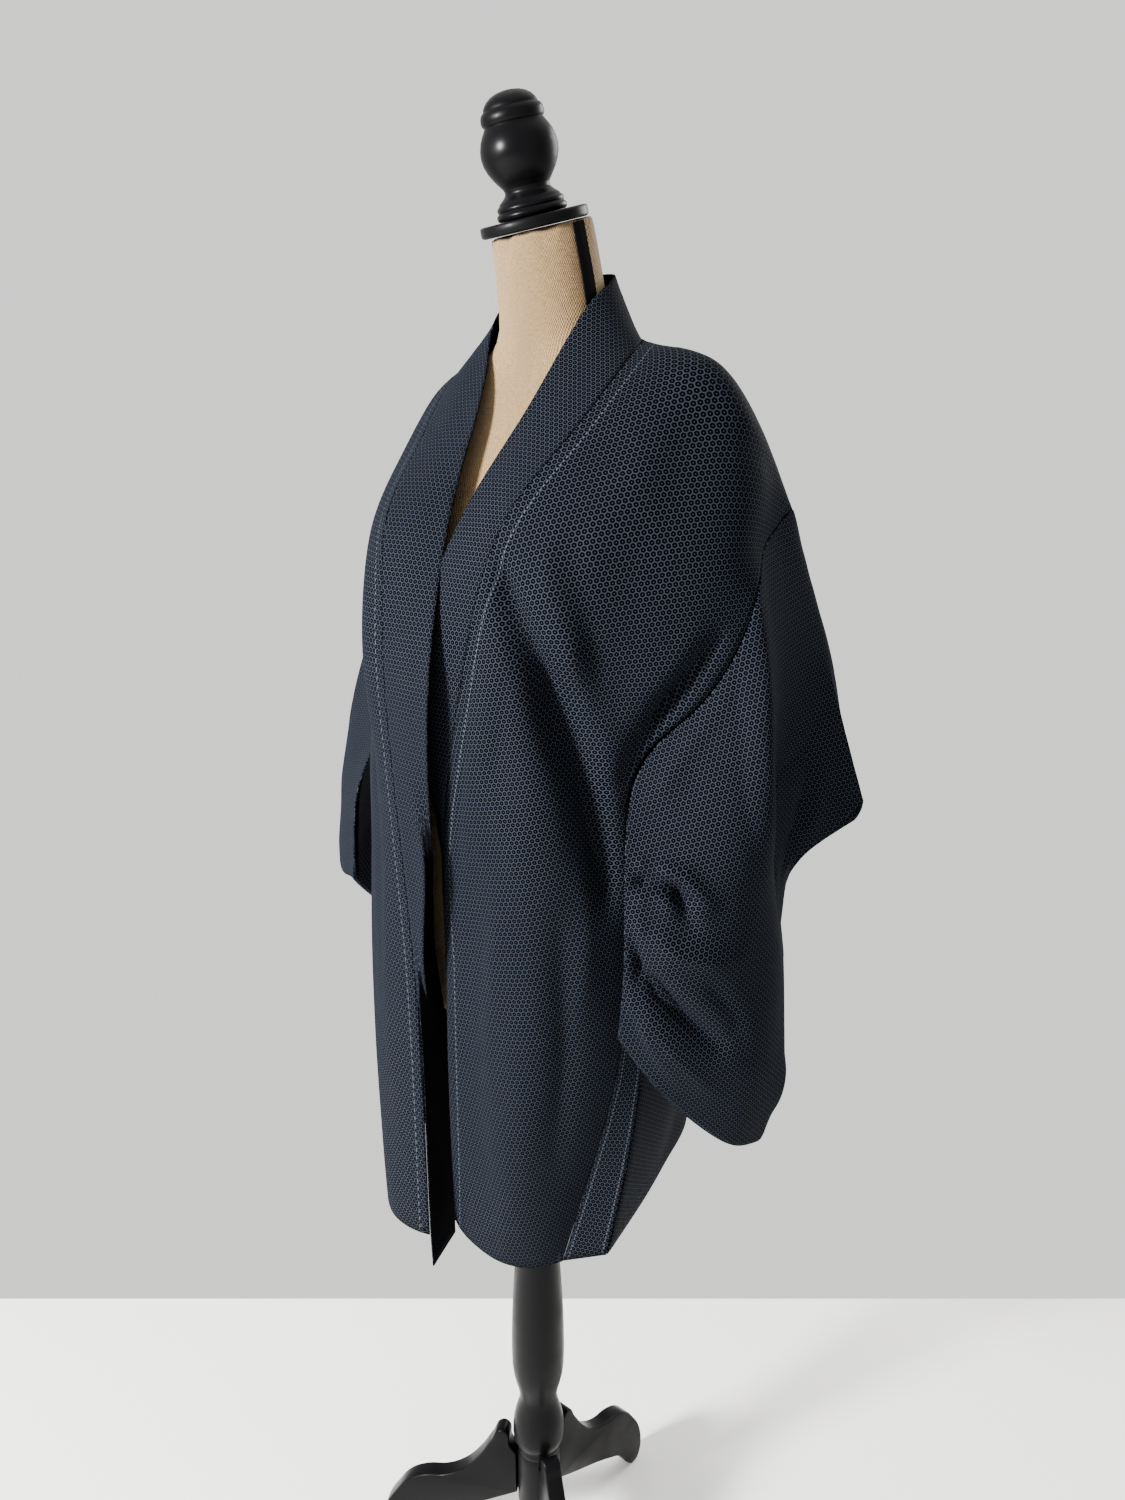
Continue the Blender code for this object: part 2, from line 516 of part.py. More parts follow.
def make_collar(bodies, cloth):
    """The long band, from the left hem round the neck to the right hem, in one strip."""
    halves = []
    fold_lines = []
    for (body, nape_row), band in zip(bodies, (BAND_LEFT, BAND_RIGHT)):
        fold_line, free_line = spline(table(band), ROW_STEPS).transpose(1, 0, 2)
        seam = body[:nape_row + 1, 0]
        start = drawn_back(seam, fold_line, body[:nape_row + 1, 1], COLLAR_SETBACK)
        lower = between(start, fold_line, BAND_STEPS)
        upper = between(fold_line, free_line, BAND_STEPS)
        halves.append(np.stack(lower + upper + [free_line], 1))
        fold_lines.append(fold_line)
    tip = np.array(BAND_RIGHT_TIP) * MM
    tip_row = between(tip[0], tip[1], BAND_STEPS) + between(tip[1], tip[2], BAND_STEPS) + [tip[2]]
    strip = np.concatenate([halves[0], halves[1][::-1][1:], np.array([tip_row])])
    wall("collar", strip.reshape(-1, 3), grid_faces(len(strip), strip.shape[1]), cloth)
    return fold_lines


def make_garment(cloth):
    left = (FRONT_LEFT, BACK_LEFT, SLEEVE_FRONT_LEFT, SLEEVE_BACK_LEFT, FREE_FRONT_LEFT, FREE_BACK_LEFT)
    right = (FRONT_RIGHT, BACK_RIGHT, SLEEVE_FRONT_RIGHT, SLEEVE_BACK_RIGHT, FREE_FRONT_RIGHT,
             FREE_BACK_RIGHT)
    bodies = [make_side("left", left, cloth), make_side("right", right, cloth)]
    fold_lines = make_collar(bodies, cloth)
    for side, (body, nape_row), fold_line in zip(("left", "right"), bodies, fold_lines):
        neck = body[:nape_row + 1, 0].copy()
        centre = body[nape_row:, 0].copy()
        other_side = body[nape_row:, 1] * (-1, 1, 1)
        body[:nape_row + 1, 0] = drawn_back(neck, body[:nape_row + 1, 1], fold_line)
        body[nape_row:, 0] = drawn_back(centre, body[nape_row:, 1], other_side)
        body[nape_row, 0] = body[nape_row, 0] + (0, NAPE_STEP, -NAPE_STEP)
        wall("body_" + side, body.reshape(-1, 3), grid_faces(body.shape[0], body.shape[1]), cloth)


def torso_point(angle, height, half_width, front, back, squareness, side_slope):
    """A point of a torso section; the angle runs from the front over the wearer's left."""
    across, along = math.sin(angle), -math.cos(angle)
    middle, half_depth = (front + back) / 2, (back - front) / 2
    power = 2 / squareness
    x = half_width * math.copysign(abs(across) ** power, across)
    y = middle + half_depth * math.copysign(abs(along) ** power, along)
    return x, y, height + side_slope * x


def neck_point(angle, height, radius, axis_y, side_slope, back_slope):
    """A point of a neck ring, on its sloping plane."""
    x, y = radius * math.sin(angle), -radius * math.cos(angle)
    return x, axis_y + y, height + side_slope * x + back_slope * y


def make_torso(burlap):
    points = []
    for rings, ring_point in ((TORSO_RINGS, torso_point), (NECK_RINGS, neck_point)):
        for ring in rings:
            for i in range(TORSO_SEGMENTS):
                points.append(ring_point(2 * math.pi * i / TORSO_SEGMENTS, *ring[1:]))
    new_object("torso", points, ring_faces(len(TORSO_RINGS) + len(NECK_RINGS), TORSO_SEGMENTS), burlap)


def make_ribbons(ribbon):
    """A thin strip up each side of the neck, from its foot to the cap."""
    for side, sign in (("left", 1), ("right", -1)):
        points = []
        for (_, height, radius, *rest), trim in zip(NECK_RINGS, RIBBON_TRIM):
            for part in (-1, 0, 1):
                angle = sign * (RIBBON_ANGLE + part * RIBBON_HALF_ANGLE)
                middle = radius + RIBBON_OFF + RIBBON_WALL / 2
                points.append(neck_point(angle, height + trim, middle, *rest))
        wall("neck_ribbon_" + side, points, grid_faces(len(NECK_RINGS), 3), ribbon, RIBBON_WALL)


def make_stand(wood):
    _, height, _, axis_y, side_slope, back_slope = NECK_RINGS[-1]
    upright = Vector((-side_slope, -back_slope, 1)).normalized()
    rise = side_slope * CAP_OFFSET[0] + back_slope * CAP_OFFSET[1]
    cap_place = Vector((CAP_OFFSET[0], axis_y + CAP_OFFSET[1], height + rise)) + upright * WOOD_GAP
    cap_profile = (
        ("under", 0, CAP_RADIUS - CAP_EDGE), ("low", CAP_EDGE, CAP_RADIUS),
        ("high", CAP_THICK - CAP_EDGE, CAP_RADIUS), ("top", CAP_THICK, CAP_RADIUS - CAP_EDGE),
    )
    lathe("neck_cap", cap_profile, wood, cap_place, upright)
    lathe("finial", FINIAL_PROFILE, wood, cap_place + upright * (CAP_THICK + WOOD_GAP), upright)
    lathe("post", POST_PROFILE, wood)
    lathe("hub", HUB_PROFILE, wood)
    for index in range(LEG_COUNT):
        make_leg(index, wood)


def make_leg(index, wood):
    """A flat S-shaped board that meets the hub, turned round the post."""
    count = len(LEG_OUTLINE)
    points = []
    for side in (-1, 1):
        points += [(side * LEG_THICK / 2, outward, height) for outward, height in LEG_OUTLINE]
    faces = [tuple(range(count)), tuple(reversed(range(count, 2 * count)))]
    for i in range(count):
        j = (i + 1) % count
        faces.append((i, j, count + j, count + i))
    leg = new_object("leg_%d" % (index + 1), points, faces, wood, smooth=False)
    leg.rotation_euler = (0, 0, LEG_ANGLE - math.pi / 2 + 2 * math.pi * index / LEG_COUNT)


def stand_on_origin():
    """Move everything so that the box stands on the floor, with its middle over the origin."""
    bpy.context.view_layer.update()
    graph = bpy.context.evaluated_depsgraph_get()
    places = []
    for thing in bpy.context.scene.objects:
        mesh = thing.evaluated_get(graph).to_mesh()
        places += [thing.matrix_world @ vertex.co for vertex in mesh.vertices]
    low = np.array(places).min(axis=0)
    high = np.array(places).max(axis=0)
    shift = Vector(((low[0] + high[0]) / 2, (low[1] + high[1]) / 2, low[2]))
    for thing in bpy.context.scene.objects:
        thing.location = thing.location - shift


def main():
    for thing in list(bpy.data.objects):
        bpy.data.objects.remove(thing)
    cloth = material("navy tsumugi", (.016, .021, .032), .75)
    burlap = material("burlap", (.50, .36, .21), .9)
    ribbon = material("black ribbon", (.012, .011, .012), .6)
    wood = material("black lacquered wood", (.010, .010, .011), .35)
    make_garment(cloth)
    make_torso(burlap)
    make_ribbons(ribbon)
    make_stand(wood)
    stand_on_origin()


main()
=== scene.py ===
import math

import bmesh
import bpy
import numpy as np
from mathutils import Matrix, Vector
from mathutils.bvhtree import BVHTree


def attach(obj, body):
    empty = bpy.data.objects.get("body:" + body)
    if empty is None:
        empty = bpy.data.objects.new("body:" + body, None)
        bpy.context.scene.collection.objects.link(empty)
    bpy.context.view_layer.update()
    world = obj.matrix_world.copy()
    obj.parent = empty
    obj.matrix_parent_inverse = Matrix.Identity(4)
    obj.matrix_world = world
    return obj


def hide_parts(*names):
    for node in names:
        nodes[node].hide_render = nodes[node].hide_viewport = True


print("loading the frame")
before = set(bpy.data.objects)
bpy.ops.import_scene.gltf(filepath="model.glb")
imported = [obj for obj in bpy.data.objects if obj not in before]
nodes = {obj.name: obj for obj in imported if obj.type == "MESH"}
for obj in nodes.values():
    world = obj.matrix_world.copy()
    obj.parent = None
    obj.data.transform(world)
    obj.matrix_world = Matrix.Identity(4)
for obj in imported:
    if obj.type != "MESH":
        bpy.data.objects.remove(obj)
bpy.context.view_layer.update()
clothNames = ["body_left", "body_right", "sleeve_left", "sleeve_right", "machi_left", "machi_right", "collar"]

# the stand's post, from which the stand and the form are measured
axisX, axisY = 0.0006, -0.0441


def clearSelection():
    if bpy.context.object and bpy.context.object.mode != "OBJECT":
        bpy.ops.object.mode_set(mode="OBJECT")
    bpy.ops.object.select_all(action="DESELECT")


def pick(piece):
    clearSelection()
    piece.select_set(True)
    bpy.context.view_layer.objects.active = piece


def applyModifiers(piece):
    pick(piece)
    for modifier in list(piece.modifiers):
        bpy.ops.object.modifier_apply(modifier=modifier.name)


def copyOfNode(name, newName):
    source = nodes[name]
    mesh = source.data.copy()
    mesh.transform(source.matrix_world)
    mesh.materials.clear()
    mesh.name = newName
    piece = bpy.data.objects.new(newName, mesh)
    bpy.context.scene.collection.objects.link(piece)
    pick(piece)
    bpy.ops.object.mode_set(mode="EDIT")
    bpy.ops.mesh.select_all(action="SELECT")
    bpy.ops.mesh.remove_doubles(threshold=0.00002)
    bpy.ops.object.mode_set(mode="OBJECT")
    return piece


# ---- shared effects -------------------------------------------------------------------------
print("building the shared effects")


def newGroup(name, inputs, outputs):
    group = bpy.data.node_groups.new(name, "ShaderNodeTree")
    for socket, kind, value in inputs:
        made = group.interface.new_socket(socket, in_out="INPUT", socket_type=kind)
        if value is not None:
            made.default_value = value
    for socket, kind in outputs:
        group.interface.new_socket(socket, in_out="OUTPUT", socket_type=kind)
    return group, group.nodes.new("NodeGroupInput"), group.nodes.new("NodeGroupOutput")


def mathNode(tree, operation, first, second=None, third=None):
    node = tree.nodes.new("ShaderNodeMath")
    node.operation = operation
    for socket, value in zip(node.inputs, (first, second, third)):
        if value is None:
            continue
        if isinstance(value, (int, float)):
            socket.default_value = value
        else:
            tree.links.new(value, socket)
    return node.outputs[0]


def vectorNode(tree, operation, first, second=None, third=None):
    node = tree.nodes.new("ShaderNodeVectorMath")
    node.operation = operation
    for socket, value in zip(node.inputs, (first, second, third)):
        if value is None:
            continue
        if isinstance(value, tuple):
            socket.default_value = value
        else:
            tree.links.new(value, socket)
    return node


def softStep(tree, value, low, high, fromValue=0.0, toValue=1.0):
    node = tree.nodes.new("ShaderNodeMapRange")
    node.interpolation_type = "SMOOTHSTEP"
    tree.links.new(value, node.inputs["Value"])
    node.inputs["From Min"].default_value = low
    node.inputs["From Max"].default_value = high
    node.inputs["To Min"].default_value = fromValue
    node.inputs["To Max"].default_value = toValue
    return node.outputs["Result"]


# tortoiseshell figure: a lattice of six-sided cells, each with a ring and a dot in it
def makeKikko():
    group, start, end = newGroup("kikko", [("Place", "NodeSocketVector", None), ("Pitch", "NodeSocketFloat", 0.005)],
                                 [("Outline", "NodeSocketFloat"), ("Ring", "NodeSocketFloat"), ("Dot", "NodeSocketFloat")])
    half = (0.5, 0.8660254, 0.5)
    cells = vectorNode(group, "SCALE", start.outputs["Place"])
    group.links.new(mathNode(group, "DIVIDE", 1.0, start.outputs["Pitch"]), cells.inputs["Scale"])
    first = vectorNode(group, "WRAP", cells.outputs[0], half, (-0.5, -0.8660254, -0.5))
    moved = vectorNode(group, "ADD", cells.outputs[0], (0.5, 0.8660254, 0.0))
    second = vectorNode(group, "WRAP", moved.outputs[0], half, (-0.5, -0.8660254, -0.5))
    flatFirst = vectorNode(group, "MULTIPLY", first.outputs[0], (1, 1, 0))
    flatSecond = vectorNode(group, "MULTIPLY", second.outputs[0], (1, 1, 0))
    lengthFirst = vectorNode(group, "LENGTH", flatFirst.outputs[0]).outputs["Value"]
    lengthSecond = vectorNode(group, "LENGTH", flatSecond.outputs[0]).outputs["Value"]
    nearer = mathNode(group, "LESS_THAN", lengthFirst, lengthSecond)
    choose = group.nodes.new("ShaderNodeMix")
    choose.data_type = "VECTOR"
    group.links.new(nearer, choose.inputs["Factor"])
    group.links.new(flatSecond.outputs[0], choose.inputs[4])
    group.links.new(flatFirst.outputs[0], choose.inputs[5])
    cell = vectorNode(group, "ABSOLUTE", choose.outputs[1])
    slant = vectorNode(group, "DOT_PRODUCT", cell.outputs[0], (0.5, 0.8660254, 0)).outputs["Value"]
    parts = group.nodes.new("ShaderNodeSeparateXYZ")
    group.links.new(cell.outputs[0], parts.inputs[0])
    edge = mathNode(group, "MAXIMUM", slant, parts.outputs["X"])
    radius = vectorNode(group, "LENGTH", cell.outputs[0]).outputs["Value"]
    group.links.new(softStep(group, edge, 0.385, 0.465), end.inputs["Outline"])
    offRing = mathNode(group, "ABSOLUTE", mathNode(group, "SUBTRACT", radius, 0.25))
    group.links.new(softStep(group, offRing, 0.03, 0.09, 1.0, 0.0), end.inputs["Ring"])
    group.links.new(softStep(group, radius, 0.06, 0.12, 1.0, 0.0), end.inputs["Dot"])
    return group


# plain weave: over and under threads both ways, with uneven slubs; its tone also carries painted shade, lighter on the
# raised crossings and darker in the low ones
def makeWeave():
    group, start, end = newGroup("plain weave", [("Place", "NodeSocketVector", None), ("Thread", "NodeSocketFloat", 0.0006),
                                                 ("Slub", "NodeSocketFloat", 0.5)],
                                 [("Height", "NodeSocketFloat"), ("SlubAndWeaveShade", "NodeSocketFloat")])
    wobble = group.nodes.new("ShaderNodeTexNoise")
    wobble.inputs["Scale"].default_value = 140
    wobble.inputs["Detail"].default_value = 2
    group.links.new(start.outputs["Place"], wobble.inputs["Vector"])
    turns = mathNode(group, "DIVIDE", math.pi, start.outputs["Thread"])
    scaled = vectorNode(group, "SCALE", start.outputs["Place"])
    group.links.new(turns, scaled.inputs["Scale"])
    parts = group.nodes.new("ShaderNodeSeparateXYZ")
    group.links.new(scaled.outputs[0], parts.inputs[0])
    drift = mathNode(group, "MULTIPLY", wobble.outputs[0], 3.0)
    across = mathNode(group, "SINE", mathNode(group, "ADD", parts.outputs["X"], drift))
    along = mathNode(group, "SINE", mathNode(group, "ADD", parts.outputs["Y"], drift))
    crossing = mathNode(group, "MULTIPLY", across, along)
    group.links.new(softStep(group, crossing, -1, 1), end.inputs["Height"])
    slubs = group.nodes.new("ShaderNodeTexNoise")
    slubs.inputs["Scale"].default_value = 60
    slubs.inputs["Detail"].default_value = 5
    stretched = vectorNode(group, "MULTIPLY", start.outputs["Place"], (1, 9, 1))
    group.links.new(stretched.outputs[0], slubs.inputs["Vector"])
    shade = mathNode(group, "MULTIPLY", mathNode(group, "SUBTRACT", slubs.outputs[0], 0.5), start.outputs["Slub"])
    # painted shade: the low points of the weave are darkened and the raised crossings lightened, on top of the real
    # slub tone
    paintedWeaveShade = mathNode(group, "MULTIPLY", crossing, 0.18)
    group.links.new(mathNode(group, "ADD", mathNode(group, "ADD", shade, paintedWeaveShade), 1.0), end.inputs["SlubAndWeaveShade"])
    return group


kikko = makeKikko()
weave = makeWeave()


def startMaterial(name, slotColor, roughness):
    made = bpy.data.materials.new(name)
    made.use_nodes = True
    shader = made.node_tree.nodes["Principled BSDF"]
    shader.inputs["Base Color"].default_value = (*slotColor, 1)
    shader.inputs["Roughness"].default_value = roughness
    return made, made.node_tree, shader


def placeGroup(tree, group, place, **values):
    node = tree.nodes.new("ShaderNodeGroup")
    node.node_tree = group
    tree.links.new(place, node.inputs["Place"])
    for name, value in values.items():
        node.inputs[name].default_value = value
    return node


def mixColors(tree, factor, first, second, blend="MIX"):
    node = tree.nodes.new("ShaderNodeMix")
    node.data_type = "RGBA"
    node.blend_type = blend
    for socket, value in ((node.inputs["Factor"], factor), (node.inputs[6], first), (node.inputs[7], second)):
        if isinstance(value, (int, float)):
            socket.default_value = value
        elif isinstance(value, tuple):
            socket.default_value = (*value, 1)
        else:
            tree.links.new(value, socket)
    return node.outputs[2]


# ---- finishes ------------------------------------------------------------------------------
print("mixing the finishes")

tsumugiLook = {
    "ground": (0.0003, 0.0006, 0.0018), "cellGround": (0.0001, 0.0001, 0.0003), "line": (0.023, 0.027, 0.035),
    "pitch": 0.0048, "specular": 0.01, "thread": 0.00055, "slub": 0.7, "stitch": (0.038, 0.045, 0.053), "stitchLine": 0.012,
    "roughness": 0.70, "sheen": 0.002, "sheenRoughness": 0.4, "sheenTint": (0.45, 0.55, 0.75),
}
# painted shade: a plain dark colour for the cloth's inner faces, which stand in shade inside the garment
paintedShadeLook = {"ground": (0.0010, 0.0011, 0.0016), "roughness": 0.85}
# burlap: the thread colour, and a darker colour that is painted shade in the hollows of the weave
burlapLook = {"light": (0.235, 0.142, 0.056), "weaveHollowShade": (0.080, 0.045, 0.016), "thread": 0.0022, "slub": 1.1, "roughness": 0.92}
ribbonLook = {"color": (0.0020, 0.0016, 0.0020), "thread": 0.0008, "roughness": 0.9, "specular": 0.05}
lacquerLook = {"color": (0.0015, 0.0015, 0.0018), "roughness": 0.34, "coat": 0.015, "coatRoughness": 0.15,
               "specular": 0.05}


def makeTsumugi():
    look = tsumugiLook
    made, tree, shader = startMaterial("navy tsumugi", look["ground"], look["roughness"])
    place = tree.nodes.new("ShaderNodeUVMap").outputs["UV"]
    figure = placeGroup(tree, kikko, place, Pitch=look["pitch"])
    threads = placeGroup(tree, weave, place, Thread=look["thread"], Slub=look["slub"])
    ground = mixColors(tree, figure.outputs["Ring"], look["ground"], look["cellGround"])
    lines = mathNode(tree, "MULTIPLY", figure.outputs["Outline"], 0.78)
    dots = mathNode(tree, "MULTIPLY", figure.outputs["Dot"], 0.9)
    lit = mathNode(tree, "MAXIMUM", lines, dots)
    color = mixColors(tree, lit, ground, look["line"])
    # pale stitches beside the seam that each piece carries a distance to
    seam = tree.nodes.new("ShaderNodeAttribute")
    seam.attribute_name = "seamDistance"
    offLine = mathNode(tree, "ABSOLUTE", mathNode(tree, "SUBTRACT", seam.outputs["Fac"], look["stitchLine"]))
    parts = tree.nodes.new("ShaderNodeSeparateXYZ")
    tree.links.new(place, parts.inputs[0])
    beat = mathNode(tree, "SINE", mathNode(tree, "MULTIPLY", parts.outputs["Y"], 2 * math.pi / 0.0042))
    stitches = mathNode(tree, "MULTIPLY", softStep(tree, offLine, 0.0003, 0.0008, 1.0, 0.0),
                        softStep(tree, beat, -0.1, 0.3))
    sewn = mixColors(tree, stitches, color, look["stitch"])
    toned = vectorNode(tree, "SCALE", sewn)
    tree.links.new(threads.outputs["SlubAndWeaveShade"], toned.inputs["Scale"])
    tree.links.new(toned.outputs[0], shader.inputs["Base Color"])
    bump = tree.nodes.new("ShaderNodeBump")
    bump.inputs["Strength"].default_value = 0.35
    bump.inputs["Distance"].default_value = 0.0004
    tree.links.new(threads.outputs["Height"], bump.inputs["Height"])
    tree.links.new(bump.outputs[0], shader.inputs["Normal"])
    shader.inputs["Specular IOR Level"].default_value = look["specular"]
    shader.inputs["Sheen Weight"].default_value = look["sheen"]
    shader.inputs["Sheen Roughness"].default_value = look["sheenRoughness"]
    shader.inputs["Sheen Tint"].default_value = (*look["sheenTint"], 1)
    return made


def makePaintedShade():
    made, tree, shader = startMaterial("shaded inside", paintedShadeLook["ground"], paintedShadeLook["roughness"])
    place = tree.nodes.new("ShaderNodeUVMap").outputs["UV"]
    threads = placeGroup(tree, weave, place, Thread=tsumugiLook["thread"], Slub=tsumugiLook["slub"])
    toned = vectorNode(tree, "SCALE", paintedShadeLook["ground"])
    tree.links.new(threads.outputs["SlubAndWeaveShade"], toned.inputs["Scale"])
    tree.links.new(toned.outputs[0], shader.inputs["Base Color"])
    shader.inputs["Specular IOR Level"].default_value = tsumugiLook["specular"]
    return made


def makeBurlap():
    look = burlapLook
    made, tree, shader = startMaterial("burlap", look["light"], look["roughness"])
    place = tree.nodes.new("ShaderNodeUVMap").outputs["UV"]
    threads = placeGroup(tree, weave, place, Thread=look["thread"], Slub=look["slub"])
    # painted shade: the low points of the weave take the darker colour and the raised threads the lighter one
    color = mixColors(tree, threads.outputs["Height"], look["weaveHollowShade"], look["light"])
    toned = vectorNode(tree, "SCALE", color)
    tree.links.new(threads.outputs["SlubAndWeaveShade"], toned.inputs["Scale"])
    tree.links.new(toned.outputs[0], shader.inputs["Base Color"])
    bump = tree.nodes.new("ShaderNodeBump")
    bump.inputs["Strength"].default_value = 0.6
    bump.inputs["Distance"].default_value = 0.0008
    tree.links.new(threads.outputs["Height"], bump.inputs["Height"])
    tree.links.new(bump.outputs[0], shader.inputs["Normal"])
    shader.inputs["Sheen Weight"].default_value = 0.1
    return made


def makeRibbon():
    look = ribbonLook
    made, tree, shader = startMaterial("black ribbon", look["color"], look["roughness"])
    place = tree.nodes.new("ShaderNodeTexCoord").outputs["Object"]
    threads = placeGroup(tree, weave, place, Thread=look["thread"], Slub=0.4)
    toned = vectorNode(tree, "SCALE", look["color"])
    tree.links.new(threads.outputs["SlubAndWeaveShade"], toned.inputs["Scale"])
    tree.links.new(toned.outputs[0], shader.inputs["Base Color"])
    shader.inputs["Specular IOR Level"].default_value = look["specular"]
    return made


def makeLacquer():
    look = lacquerLook
    made, tree, shader = startMaterial("black lacquered wood", look["color"], look["roughness"])
    place = tree.nodes.new("ShaderNodeTexCoord").outputs["Object"]
    wear = tree.nodes.new("ShaderNodeTexNoise")
    wear.inputs["Scale"].default_value = 30
    wear.inputs["Detail"].default_value = 4
    tree.links.new(place, wear.inputs["Vector"])
    tree.links.new(softStep(tree, wear.outputs[0], 0.3, 0.7, look["roughness"] - 0.06, look["roughness"] + 0.10),
                   shader.inputs["Roughness"])
    shader.inputs["Specular IOR Level"].default_value = look["specular"]
    shader.inputs["Coat Weight"].default_value = look["coat"]
    shader.inputs["Coat Roughness"].default_value = look["coatRoughness"]
    return made


tsumugi = makeTsumugi()
# the shaded inside material: painted shade for the cloth's inner faces
inside = makePaintedShade()
burlap = makeBurlap()
ribbonTape = makeRibbon()
lacquer = makeLacquer()

# ---- cloth ---------------------------------------------------------------------------------
# Each piece is drawn off its solid as one sheet, smoothed, creased and given its thickness.
clothSizes = {"wall": 0.0014, "rimTries": [
    (0.0036, 0.003, 0), (0.0036, 0, 0), (0.0031, 0, 0), (0.0045, 0, 0), (0.0040, 0.0034, 50), (0.0055, 0.0045, 50),
    (0.0034, 0.0028, 60), (0.0034, 0.0028, 40), (0.0070, 0.0060, 60)], "edgeCalm": 0.020}
clothLevels = {"body_left": 2, "body_right": 2, "sleeve_left": 3, "sleeve_right": 2, "collar": 2, "machi_left": 2,
               "machi_right": 2}

# places along each crease in millimetres in the row frame, half width, height (below zero is a trough)
creases = {
    "body_left": [
        ([(196, -74, 1262), (170, -96, 1205), (150, -112, 1120)], 8, 4),
        ([(120, -140, 1010), (128, -138, 930), (122, -140, 840)], 9, 5),
        ([(58, -176, 1245), (82, -166, 1190), (103, -152, 1125), (121, -132, 1055), (133, -113, 960)], 17, -40),
        ([(114, -152, 1285), (129, -142, 1193), (133, -122, 1088)], 9, -4),
        ([(96, -162, 1262), (118, -148, 1175), (137, -122, 1085), (142, -110, 1010)], 11, 10),
        ([(212, -72, 1190), (177, -87, 1132), (143, -97, 1066)], 10, -26),
        ([(196, -84, 1205), (160, -100, 1140)], 10, 6),
        ([(105, -152, 926), (112, -151, 805), (96, -147, 650)], 18, -9),
        ([(52, -173, 951), (38, -172, 791), (44, -169, 640)], 22, 5),
        ([(24, -177, 1130), (4, -172, 1000), (2, -172, 930)], 11, -3),
        ([(150, -98, 1330), (170, -94, 1240)], 20, 3),
        ([(66, -170, 1180), (50, -172, 1060)], 12, -3),
        ([(60, 118, 1330), (110, 100, 1240), (135, 60, 1150)], 16, -5),
        ([(30, 108, 1150), (42, 128, 900), (36, 160, 680)], 20, -5),
        ([(92, 92, 1050), (96, 120, 820), (84, 150, 640)], 16, -5),
        ([(120, 60, 1000), (130, 60, 800)], 14, 4),
    ],
    "body_right": [
        ([(-150, -60, 1300), (-135, -110, 1190), (-110, -150, 1060)], 14, -5),
        ([(-120, -140, 1180), (-100, -170, 1010), (-95, -180, 850)], 14, -4),
        ([(-80, -180, 980), (-84, -186, 800), (-80, -186, 640)], 12, 3),
        ([(-120, -165, 930), (-122, -172, 760)], 12, -4),
        ([(-50, 118, 1330), (-100, 100, 1240), (-135, 60, 1150)], 16, -5),
        ([(-34, 108, 1150), (-40, 128, 900), (-30, 165, 690)], 20, -5),
        ([(-95, 92, 1050), (-100, 120, 820), (-90, 150, 640)], 16, -6),
        ([(-130, 60, 1000), (-145, 50, 800)], 14, 4),
    ],
    "sleeve_left": [
        ([(150, -122, 905), (166, -126, 860), (188, -120, 815), (206, -104, 775)], 6, 6),
        ([(226, -92, 880), (246, -76, 850), (256, -60, 800)], 9, -6),
        ([(150, -118, 990), (176, -114, 992), (205, -104, 985), (226, -98, 962)], 7, 14),
        ([(152, -126, 975), (180, -115, 977), (208, -106, 966)], 6, -18),
        ([(160, -129, 958), (187, -114, 966), (225, -101, 948)], 7, 12),
        ([(197, -111, 973), (215, -106, 944)], 8, -20),
        ([(155, -125, 935), (175, -126, 890), (208, -111, 850), (236, -82, 815)], 11, -28),
        ([(160, -127, 945), (205, -112, 915), (248, -78, 900)], 14, 13),
        ([(170, -122, 862), (200, -108, 812), (226, -78, 765)], 13, 8),
        ([(222, -58, 1172), (243, -69, 1053), (256, -57, 977)], 10, -3),
        ([(213, -64, 1137), (190, -86, 1090), (166, -100, 1040)], 9, 7),
        ([(250, 60, 1100), (240, 50, 1000), (236, 30, 900)], 14, -5),
        ([(255, 80, 1050), (250, 70, 950)], 10, 4),
    ],
    "sleeve_right": [
        ([(-215, 0, 1180), (-245, -20, 1090), (-255, -40, 1000)], 10, -4),
        ([(-225, 30, 1160), (-250, 30, 1050), (-262, 20, 950)], 12, 4),
        ([(-240, 60, 1100), (-240, 50, 1000), (-236, 30, 920)], 12, -5),
        ([(-230, -60, 990), (-262, -40, 930)], 10, -4),
    ],
    "collar": [],
    "machi_left": [],
    "machi_right": [],
}


def floodGroups(shape, blockedFaces, blockedEdges):
    groups = []
    seen = set(blockedFaces)
    for first in shape.faces:
        if first in seen:
            continue
        stack, found = [first], []
        seen.add(first)
        while stack:
            face = stack.pop()
            found.append(face)
            for edge in face.edges:
                if edge in blockedEdges:
                    continue
                for other in edge.link_faces:
                    if other not in seen:
                        seen.add(other)
                        stack.append(other)
        groups.append(found)
    groups.sort(key=lambda found: -sum(face.calc_area() for face in found))
    return groups


def layersOf(shape):
    # the narrow faces round the open edges part the outer layer from the inner one
    best, bestScore = None, -1.0
    for longest, widest, turn in clothSizes["rimTries"]:
        thin = set()
        for face in shape.faces:
            lengths = [edge.calc_length() for edge in face.edges]
            if min(lengths) < longest or 2 * face.calc_area() / max(lengths) < widest:
                thin.add(face)
        turns = set()
        if turn:
            for edge in shape.edges:
                if len(edge.link_faces) == 2 and edge.calc_face_angle() > math.radians(turn):
                    if edge.link_faces[0] in thin or edge.link_faces[1] in thin:
                        turns.add(edge)
            thin = set()
        groups = floodGroups(shape, thin, turns)
        if len(groups) < 2:
            continue
        first, second = len(groups[0]), len(groups[1])
        score = min(first, second) / max(first, second) * (first + second) / len(shape.faces)
        if score > bestScore:
            best, bestScore = groups, score
    return best


